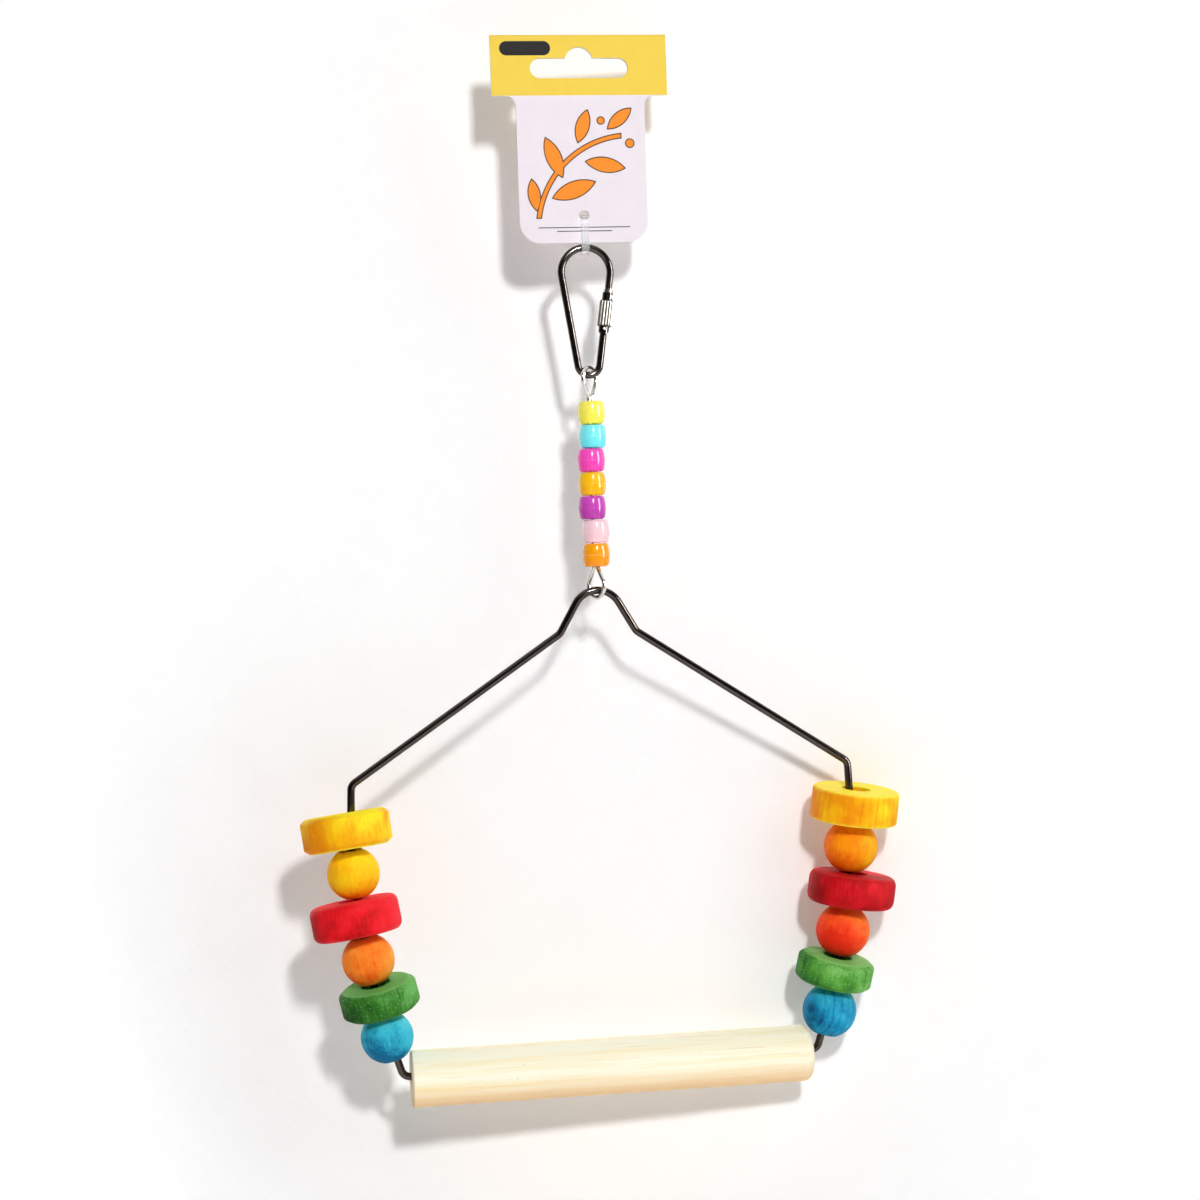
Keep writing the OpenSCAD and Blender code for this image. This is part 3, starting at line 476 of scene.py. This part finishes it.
def printed_card(name):
    """Coated card printed on its outside: a yellow band over a pale panel, with a leafy
    sprig, a dark bar and two rules. Each form is a distance that is below 0 inside it. The
    print lies where a point is nearly the card's half thickness away from its middle
    surface, and the core is white."""
    black, outline_ink = (0.02, 0.018, 0.018), (0.1, 0.04, 0.02)
    f = Finish(name, specular_ior_level=0.08)
    own = f.place()
    x, y, z = f.axes(own)
    over = (z - fold_z).high(0.0)
    printed = f.reach({1: y, 2: over}) > (fold_r - 0.06 * MM)
    fibres = f.noise(own, 2600, 3, 0.7)
    mottle = f.noise(own, 190, 4, 0.6)
    white = f.mix(fibres, (0.9, 0.9, 0.88), (0.82, 0.82, 0.8))
    yellow = f.mix(mottle, (0.83, 0.61, 0.085), (0.79, 0.55, 0.06))
    lilac = f.mix(mottle, (0.8, 0.74, 0.79), (0.74, 0.68, 0.73))
    orange = f.mix(mottle, (0.9, 0.28, 0.025), (0.85, 0.24, 0.02))

    def circle(at, size):
        """Distance from a circle's edge in the card's plane."""
        return f.reach({0: x - at[0] * MM, 2: z - at[1] * MM}) - size * MM

    def box(at, size):
        """Below 0 in a box, given by its middle and half sizes."""
        return (abs(x - at[0] * MM) - size[0] * MM).high(abs(z - at[1] * MM) - size[1] * MM)

    def leaf(at, lean, length, bulge):
        """Almond shape: the overlap of two circles on either side of its midrib."""
        radius = (length**2 + bulge**2) / (2 * bulge)
        off = radius - bulge
        across = (-math.sin(math.radians(lean)) * off, math.cos(math.radians(lean)) * off)
        return circle((at[0] + across[0], at[1] + across[1]), radius).high(
            circle((at[0] - across[0], at[1] - across[1]), radius))

    sprig = abs(circle(stem_centre, stem_radius)) - stem_half * MM
    sprig = sprig.high(x - stem_right * MM).high(stem_bottom * MM - z)
    for shape in leaves:
        sprig = sprig.low(leaf(*shape))
    for at, size in berries:
        sprig = sprig.low(circle(at, size))
    bar = box(bar_at, bar_half)
    for end in (-1, 1):
        bar = bar.low(circle((bar_at[0] + end * bar_half[0], bar_at[1]), bar_half[1]))
    rules = box(*rule_boxes[0]).low(box(*rule_boxes[1]))
    ink = f.mix(z > band_z, lilac, yellow)
    ink = f.mix(sprig < 0.0, ink, orange)
    ink = f.mix(abs(sprig) < 0.19 * MM, ink, outline_ink)
    ink = f.mix(bar < 0.0, ink, black)
    ink = f.mix(rules < 0.0, ink, (0.05, 0.045, 0.05))
    f.feed("Base Color", f.mix(printed, white, ink))
    f.feed("Roughness", 0.78 - printed * 0.28 + fibres * 0.06)
    f.bump(fibres * 0.5 + mottle * 0.5, 0.04 * MM, 0.35)
    return f.material


def nut_finish(name, centre, axis):
    """Bright plating, with painted shade near-black at the bottom of the flutes."""
    f = Finish(name, metallic=1.0)
    own = f.place(centre, onto(axis).to_euler())
    x, y, z = f.axes(own)
    worn = f.noise(own, 900, 3, 0.6)
    # Painted shade: the bottoms of the flutes are made nearly black.
    flute_shade = f.between(f.reach({0: x, 1: y}), (nut_r - 0.2) * MM, (nut_r - 0.08) * MM,
                       1.0, 0.0)
    colour = f.mix(worn, (0.72, 0.68, 0.62), (0.52, 0.48, 0.43))
    f.feed("Base Color", f.mix(flute_shade * 0.95, colour, (0.03, 0.02, 0.016)))
    f.feed("Roughness", 0.24 + worn * 0.12)
    f.bump(worn, 0.03 * MM, 0.4)
    return f.material


# ----------------------------------------------------- card, tie and metal

# The card's folded edge and the band's lower edge, in metres.
fold_r = 0.8 * MM
fold_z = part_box("header_card")[1].z - fold_r
band_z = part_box("header_card")[1].z - 19.6 * MM

# The print, in mm: a place is (x, z). A leaf has a middle, a lean in degrees, half its
# length and half its width.
stem_centre, stem_radius, stem_half = (16.0, -55.0), 31.0, 0.75
stem_right, stem_bottom = 13, -50.5
leaves = [
    ((-9.2, -31.0), 112, 7.0, 2.5), ((-16.0, -43.0), 98, 5.2, 2.0),
    ((-3.0, -41.5), 20, 7.6, 2.7), ((7.5, -33.5), 350, 6.6, 2.4),
    ((0.5, -21.0), 72, 5.6, 2.2), ((12.6, -18.6), 40, 5.2, 2.0),
]
berries = [((6.5, -19.2), 1.2), ((15.8, -26.6), 1.4)]
bar_at, bar_half = (-17.5, 4.2), (6.0, 2.3)
rule_boxes = [((0, -53.6), (15, 0.16)), ((0, -54.8), (9, 0.16))]

perch_low, perch_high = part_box("perch")
perch_middle = (perch_low + perch_high) / 2


def dress(node, material):
    """Gives a CAD node its finish."""
    mesh = nodes[node].data
    mesh.materials.clear()
    mesh.materials.append(material)


dress("header_card", printed_card("card_print"))
dress("cable_tie", clear_nylon("clear_nylon"))
leg_axis = joints["nut_travel"]["axis"]
collar = (joints["gate_hinge"]["pos_m"], leg_axis, 11.8, 13.0)
dark_tint, dark_edge = (0.105, 0.09, 0.082), (0.3, 0.26, 0.24)
dress("hook_gate", nickel("gate_nickel", dark_tint, 0.06, dark_edge))
dress("swing_frame", nickel("frame_nickel", (0.09, 0.076, 0.068), 0.05, dark_edge))
dress("hook_body", nickel("hook_nickel", dark_tint, 0.06, dark_edge, collar))
dress("bead_link", nickel("bright_nickel", (0.82, 0.8, 0.75), 0.12))
steel = nickel("bright_steel", (0.75, 0.75, 0.75), 0.2)
for part in ("gate_hinge_pin", "gate_latch_pin", "gate_plunger", "gate_spring"):
    dress(part, steel)

# ------------------------------------------------------------------- nut

nut_r, nut_h, nut_bore, nut_chamfer = 2.42, 8.5, 1.76, 0.35
flutes, flute_depth = 14, 0.3


def nut_outline():
    """Section of the nut: a tube with chamfered outer corners, all corners eased."""
    half, inner = nut_h / 2, nut_r - nut_chamfer
    corners = [(nut_bore, -half), (inner, -half), (nut_r, nut_chamfer - half),
               (nut_r, half - nut_chamfer), (inner, half), (nut_bore, half)]
    return dense(eased(corners, [0.1, 0.15, 0.2, 0.2, 0.15, 0.1], 5), 0.6)


def fluted(profile, around):
    """Grid of a profile turned about Z with n flutes of depth d in its outside: the radius
    becomes r - d (0.5 + 0.5 cos(n a))^1.5, and the bore stays round."""
    angle = np.linspace(0, TURN, around, endpoint=False)
    r, h = profile[:, 0:1], profile[:, 1:2]
    outside = np.clip((r / MM - nut_bore) / (nut_r - nut_bore) * 2 - 1, 0, 1)
    r = r - flute_depth * MM * outside * (0.5 + 0.5 * np.cos(flutes * angle)) ** 1.5
    return np.stack([r * np.cos(angle), r * np.sin(angle), h + 0 * angle], -1)


low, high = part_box("lock_nut")
nut_middle = tuple((low + high) / 2)
piece("lock_nut_fluted", placed(fluted(nut_outline() * MM, 196), nut_middle, leg_axis),
      "nut", "lock_nut", nut_finish("nut_nickel", nut_middle, leg_axis))

# ------------------------------------------------------------------ beads

# Each bead's colour and the deeper colour of its swirls.
bead_colours = {
    "bead_lemon": ((0.96, 0.92, 0.16), (0.94, 0.8, 0.04)),
    "bead_aqua": ((0.26, 0.9, 0.94), (0.1, 0.76, 0.86)),
    "bead_magenta": ((0.93, 0.1, 0.56), (0.9, 0.03, 0.38)),
    "bead_amber": ((0.97, 0.6, 0.008), (0.95, 0.4, 0.003)),
    "bead_violet": ((0.66, 0.09, 0.56), (0.4, 0.018, 0.31)),
    "bead_pink": ((0.94, 0.66, 0.71), (0.91, 0.55, 0.62)),
    "bead_orange": ((0.95, 0.42, 0.006), (0.92, 0.25, 0.003)),
}
clear_seams = ("bead_aqua", "bead_orange")
bead_r, bead_h, bead_bore = 4.45, 7.5, 2.0


def bead_outline():
    """Radius at height z: R - B + sqrt(B^2 - (z - h/2)^2) for a bow of radius B, less a
    round at both rims, less a fine mould ridge that leaves the middle at R - 0.035 and
    falls off as a bell curve, with eased mouths at the bore."""
    rim, bow_r, mouth_r = 0.7, 11.8, 0.35
    bow = rim * (1 - np.cos(np.linspace(0, math.pi / 2, 10)))
    z = np.concatenate([bow, np.linspace(rim, bead_h - rim, 61)[1:-1], bead_h - bow[::-1]])
    cut = rim - np.minimum(rim, np.minimum(z, bead_h - z))
    r = bead_r - bow_r + np.sqrt(bow_r**2 - (z - bead_h / 2) ** 2)
    r = r - rim + np.sqrt(rim**2 - cut**2)
    r = r - 0.035 * (1 - np.exp(-(((z - bead_h / 2) / 0.11) ** 2)))
    outer = np.stack([r, z - bead_h / 2], -1)
    turn = np.linspace(math.pi / 2, math.pi, 7)
    mouth = np.stack([bead_bore + mouth_r + mouth_r * np.cos(turn),
                      bead_h / 2 - mouth_r + mouth_r * np.sin(turn)], -1)
    wall = np.linspace(1, -1, 8)[1:-1, None] * (0, bead_h / 2 - mouth_r) + (bead_bore, 0)
    return np.concatenate([outer, mouth, wall, mouth[::-1] * (1, -1)])


bead_shape = revolved(bead_outline() * MM, 72)
for part, (colour, deep) in bead_colours.items():
    low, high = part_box(part)
    middle = tuple((low + high) / 2)
    plastic = bead_plastic(part + "_plastic", colour, deep, middle,
                           0.3 if part in clear_seams else 0.08)
    piece(part + "_barrel", bead_shape + np.array(middle), part, part,
          plastic)

# ------------------------------------------------------------------ perch

perch_r, perch_half = 9.2, (perch_high.x - perch_low.x) / 2 / MM


def perch_outline():
    """Half outline from one hole's bottom to the other's: wall, eased lip, face, rounded
    edge, side. The left edge is crisp and the right one well rounded."""
    hole, depth, lip_r, left_edge, right_edge = 2.25, 18.0, 0.3, 0.8, 3.0

    def end(edge):
        t = np.linspace(0, math.pi / 2, 14)
        lip = np.stack([hole + lip_r * (1 - np.cos(t)), -lip_r + lip_r * np.sin(t)], -1)
        turn = np.stack([perch_r - edge + edge * np.sin(t), -edge + edge * np.cos(t)], -1)
        wall = np.stack([hole + 0 * t, -depth + (depth - lip_r) * t / t[-1]], -1)
        return np.concatenate([[[hole - 0.5, -depth]], wall[:-1], lip, turn])

    left = end(left_edge) * (1, -1) + (0, -perch_half)
    right = end(right_edge)[::-1] + (0, perch_half)
    return dense(np.concatenate([left, right]), 2.5, closed=False)


dowel = uneven(revolved(perch_outline() * MM, 128), 2.0, 0.005)
dowel = np.stack([dowel[..., 2], dowel[..., 1], -dowel[..., 0]], -1)
piece("perch_dowel", dowel + np.array(perch_middle), "perch", "perch",
      pine("bare_pine"), wrap_rows=False)

# ------------------------------------------------------- rings and balls

# Each dye as its dark, middle and light tone.
dyes = {
    "left": {
        "yellow_ring": ((0.84, 0.26, 0.002), (0.94, 0.47, 0.005), (0.96, 0.76, 0.016)),
        "amber_ball": ((0.86, 0.26, 0.002), (0.95, 0.54, 0.006), (0.96, 0.7, 0.016)),
        "red_ring": ((0.44, 0.002, 0.005), (0.82, 0.009, 0.016), (0.9, 0.024, 0.04)),
        "orange_ball": ((0.82, 0.08, 0.004), (0.94, 0.25, 0.02), (0.95, 0.4, 0.06)),
        "green_ring": ((0.01, 0.07, 0.008), (0.036, 0.19, 0.018), (0.14, 0.45, 0.1)),
        "blue_ball": ((0.004, 0.14, 0.29), (0.035, 0.46, 0.63), (0.1, 0.63, 0.77)),
    },
    "right": {
        "yellow_ring": ((0.84, 0.26, 0.002), (0.94, 0.44, 0.004), (0.96, 0.76, 0.014)),
        "amber_ball": ((0.84, 0.14, 0.002), (0.94, 0.31, 0.003), (0.96, 0.5, 0.008)),
        "red_ring": ((0.28, 0.002, 0.004), (0.52, 0.004, 0.009), (0.76, 0.012, 0.022)),
        "orange_ball": ((0.76, 0.022, 0.005), (0.95, 0.08, 0.014), (0.96, 0.24, 0.024)),
        "green_ring": ((0.02, 0.13, 0.016), (0.075, 0.31, 0.035), (0.2, 0.52, 0.12)),
        "blue_ball": ((0.003, 0.07, 0.17), (0.01, 0.27, 0.49), (0.05, 0.5, 0.68)),
    },
}
clear_lines = ("right_yellow_ring", "right_green_ring", "right_blue_ball")
# Painted light: how much lighter each kind of ring's flat faces are made.
painted_face_lights = {"yellow_ring": 0.5, "green_ring": 0.3}
wide_r, green_r, green_h = 14.4, 12.7, 9.6
wide_heights, ball_radii = {"left": 11.6, "right": 10.8}, {"left": 8.5, "right": 8.9}
ring_bore, ball_bore, bevel = 4.7, 3.3, 2
blue_lean = math.radians(14.65)


def bevelled_ring(radius, height):
    """Section of a ring with bevelled outer corners, all corners eased."""
    h, rise, inner = height / 2, bevel * 0.75, radius - bevel
    corners = [(ring_bore, -h), (inner, -h), (radius, rise - h), (radius, h - rise),
               (inner, h), (ring_bore, h)]
    return dense(eased(corners, [0.4, 0.5, 0.6, 0.6, 0.5, 0.4], 12), 1.2)


def rounded_ring(radius, height, edge):
    """Section of a ring with rounded outer corners and an eased bore. A parabola that
    reaches 1.17 times an edge's radius looks like that radius."""
    h = height / 2
    corners = [(ring_bore, -h), (radius, -h), (radius, h), (ring_bore, h)]
    return dense(eased(corners, [0.4, edge * 1.17, edge * 1.17, 0.4], 12), 1.2)


def stack_outline(side, part):
    """Outline and half sizes of a piece in a stack."""
    if part.endswith("ball"):
        radius = ball_radii[side]
        return ball_outline(radius, ball_bore, 0.35), (radius, radius * 2)
    if part == "green_ring":
        return bevelled_ring(green_r, green_h), (green_r, green_h / 2)
    height = wide_heights[side]
    if part == "red_ring":
        outline = rounded_ring(wide_r, height, 2.7)
    elif side == "left":
        outline = bevelled_ring(wide_r, height)
    else:
        outline = rounded_ring(wide_r, height, 1.0)
    return outline, (wide_r, height / 2)


seed = 0
for side, way in (("left", -1), ("right", 1)):
    for part, tones in dyes[side].items():
        node = f"{side}_{part}"
        seed += 1
        low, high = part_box(node)
        centre = tuple((low + high) / 2)
        if part == "blue_ball":
            axis = (way * math.sin(blue_lean), 0, math.cos(blue_lean))
        else:
            axis = joints[node + "_spin"]["axis"]
        outline, half = stack_outline(side, part)
        shape = uneven(revolved(outline * MM, 112), seed, 0.004)
        wood = dyed_wood(node + "_dye", tones, centre, axis, pith=seed * 2.4,
                         half=(half[0] * MM, half[1] * MM), seed=seed,
                         lines=0.1 if node in clear_lines else 0.035,
                         specks=0.32 if part == "green_ring" else 0.05,
                         painted_face_light=painted_face_lights.get(part, 0.0))
        piece(node + "_turned", placed(shape, centre, axis), node, node, wood)

# ------------------------------------------------------------------ camera

# Fitted to the photograph: angles in degrees, focal length in pixels of a 1200 wide image.
yaw, pitch, roll = math.radians(8.7), math.radians(1.3), math.radians(1.98)
focal, image_width, film = 2430, 1200, 36
aim, distance = Vector((0.98, 0, -174.45)) * MM, 790.6 * MM
look = Vector((math.sin(yaw) * math.cos(pitch), math.cos(yaw) * math.cos(pitch),
               -math.sin(pitch)))


def facing(direction, roll=0.0):
    """Turn of a camera or lamp that looks along a direction, with its top up."""
    turn = direction.to_track_quat("-Z", "Y").to_matrix() @ Matrix.Rotation(-roll, 3, "Z")
    return turn.to_quaternion()


def set_up(name, data, place, turn):
    """Puts a camera or a lamp into the scene."""
    obj = bpy.data.objects.new(name, data)
    obj.location = place
    obj.rotation_mode = "QUATERNION"
    obj.rotation_quaternion = turn
    bpy.context.scene.collection.objects.link(obj)
    return obj


lens = bpy.data.cameras.new("camera")
lens.sensor_width, lens.lens = film, focal / image_width * film
lens.clip_start, lens.clip_end = 0.01, 20
bpy.context.scene.camera = set_up("camera", lens, aim - look * distance, facing(look, roll))

# ------------------------------------------------------------------- stage

wall_gap, floor_z, cove = 30 * MM, -430 * MM, 120 * MM
wall_top, floor_front, half_width = 0.9, 2.4, 1.6


def sweep():
    """Backdrop square to the camera's heading: a wall, a quarter bend that goes by
    c (1 - cos b) forwards and c (1 - sin b) over the floor, and a floor."""
    bend = np.linspace(0, math.pi / 2, 24)
    depth = wall_gap + np.concatenate([[0], -cove * (1 - np.cos(bend)), [-floor_front]])
    height = np.concatenate([[wall_top], floor_z + cove * (1 - np.sin(bend)), [floor_z]])
    across = np.array([-half_width, half_width])
    heading = np.array([math.sin(yaw), math.cos(yaw), 0])
    side = np.array([math.cos(yaw), -math.sin(yaw), 0])
    points = (depth[:, None, None] * heading + height[:, None, None] * np.array([0, 0, 1])
              + across[None, :, None] * side)
    r = np.arange(len(depth) - 1)
    faces = np.stack([2 * r, 2 * r + 2, 2 * r + 3, 2 * r + 1], -1)
    mesh = bpy.data.meshes.new("sweep")
    mesh.from_pydata(points.reshape(-1, 3).tolist(), [], faces.tolist())
    mesh.polygons.foreach_set("use_smooth", np.ones(len(mesh.polygons), bool))
    obj = bpy.data.objects.new("sweep", mesh)
    bpy.context.scene.collection.objects.link(obj)
    obj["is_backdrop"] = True
    return obj


def paper(name):
    """Nearly white paper, clear to the camera from behind. From the front it shows where
    something stands close before it and takes its shadow, and nothing has gone back past
    it. Elsewhere the white room shows, or the swing behind the paper."""
    material = bpy.data.materials.new(name)
    material.use_nodes = True
    f = Shading(material.node_tree)
    diffuse = f.node("ShaderNodeBsdfDiffuse", {}, {"Color": (0.95, 0.945, 0.945)})
    glow = f.node("ShaderNodeEmission", {}, {"Color": (1, 1, 1), "Strength": 1.0})
    clear = f.node("ShaderNodeBsdfTransparent")

    def emptiness(inside, distance):
        """1 where nothing is found within a distance on one side of the paper."""
        return f.node("ShaderNodeAmbientOcclusion", {"samples": 16, "inside": inside},
                      {"Distance": distance}, out="AO")

    before, beyond = emptiness(False, 0.09), emptiness(True, 0.4)
    shader = f.blend(0.08, diffuse, glow)
    shader = f.blend(1 - f.between(beyond, 0.93, 0.99), shader, clear)
    shader = f.blend(f.between(before, 0.93, 1.0), shader, clear)
    shader = f.blend(f.ray("Camera"), diffuse, shader)
    shader = f.blend(f.node("ShaderNodeNewGeometry", out="Backfacing"), shader, clear)
    f.end("ShaderNodeOutputMaterial", shader)
    return material


def studio():
    """World: white to the camera and through clear parts, a faint even light, and for
    reflections a room that is dark in front, white behind and bright overhead."""
    world = bpy.data.worlds.new("studio")
    bpy.context.scene.world = world
    world.use_nodes = True
    f = Shading(world.node_tree)
    x, y, z = f.axes(f.node("ShaderNodeTexCoord", out="Generated"))
    rear = f.between(y + x * 0.15, 0.05, 0.85)
    overhead = f.between(z, 0.6, 0.9)
    room = f.mix(rear, (0.05, 0.045, 0.042), (1, 1, 1))
    room = f.mix(overhead * 0.7, room, (1.6, 1.6, 1.65))

    def light(colour, strength):
        return f.node("ShaderNodeBackground", {}, {"Color": colour, "Strength": strength})

    shader = f.blend(f.ray("Glossy"), light((1, 0.955, 0.945), 0.12), light(room, 1.0))
    seen = f.ray("Camera").high(f.ray("Transmission"))
    f.end("ShaderNodeOutputWorld", f.blend(seen, shader, light((1, 1, 1), 1.0)))


def lamp(name, azimuth, elevation, away, size, power):
    """Area lamp aimed at the middle of the object, placed round it by two angles in
    degrees and a distance in metres: azimuth 0 is in front, and 90 to the right."""
    a, e = math.radians(azimuth), math.radians(elevation)
    back = Vector((math.sin(a) * math.cos(e), -math.cos(a) * math.cos(e), math.sin(e)))
    light = bpy.data.lights.new(name, "AREA")
    light.shape, light.size, light.size_y = "RECTANGLE", size[0], size[1]
    light.energy = power
    return set_up(name, light, aim + back * away, facing(-back))


backdrop = sweep()
backdrop.data.materials.append(paper("paper"))
backdrop.visible_shadow = False
studio()
lamp("flash", 3, 24, 1.1, (0.08, 0.1), 7.8)
lamp("softbox", 40, 26, 1.2, (0.4, 0.8), 2.0).visible_glossy = False
lamp("strip", 58, 10, 1.0, (0.1, 0.6), 11).visible_diffuse = False
lamp("back_left", 150, 16, 1.3, (0.8, 0.8), 5)
lamp("back_right", 210, 10, 1.3, (0.8, 0.8), 5)

bpy.context.scene.view_settings.view_transform = "Standard"

low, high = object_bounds()
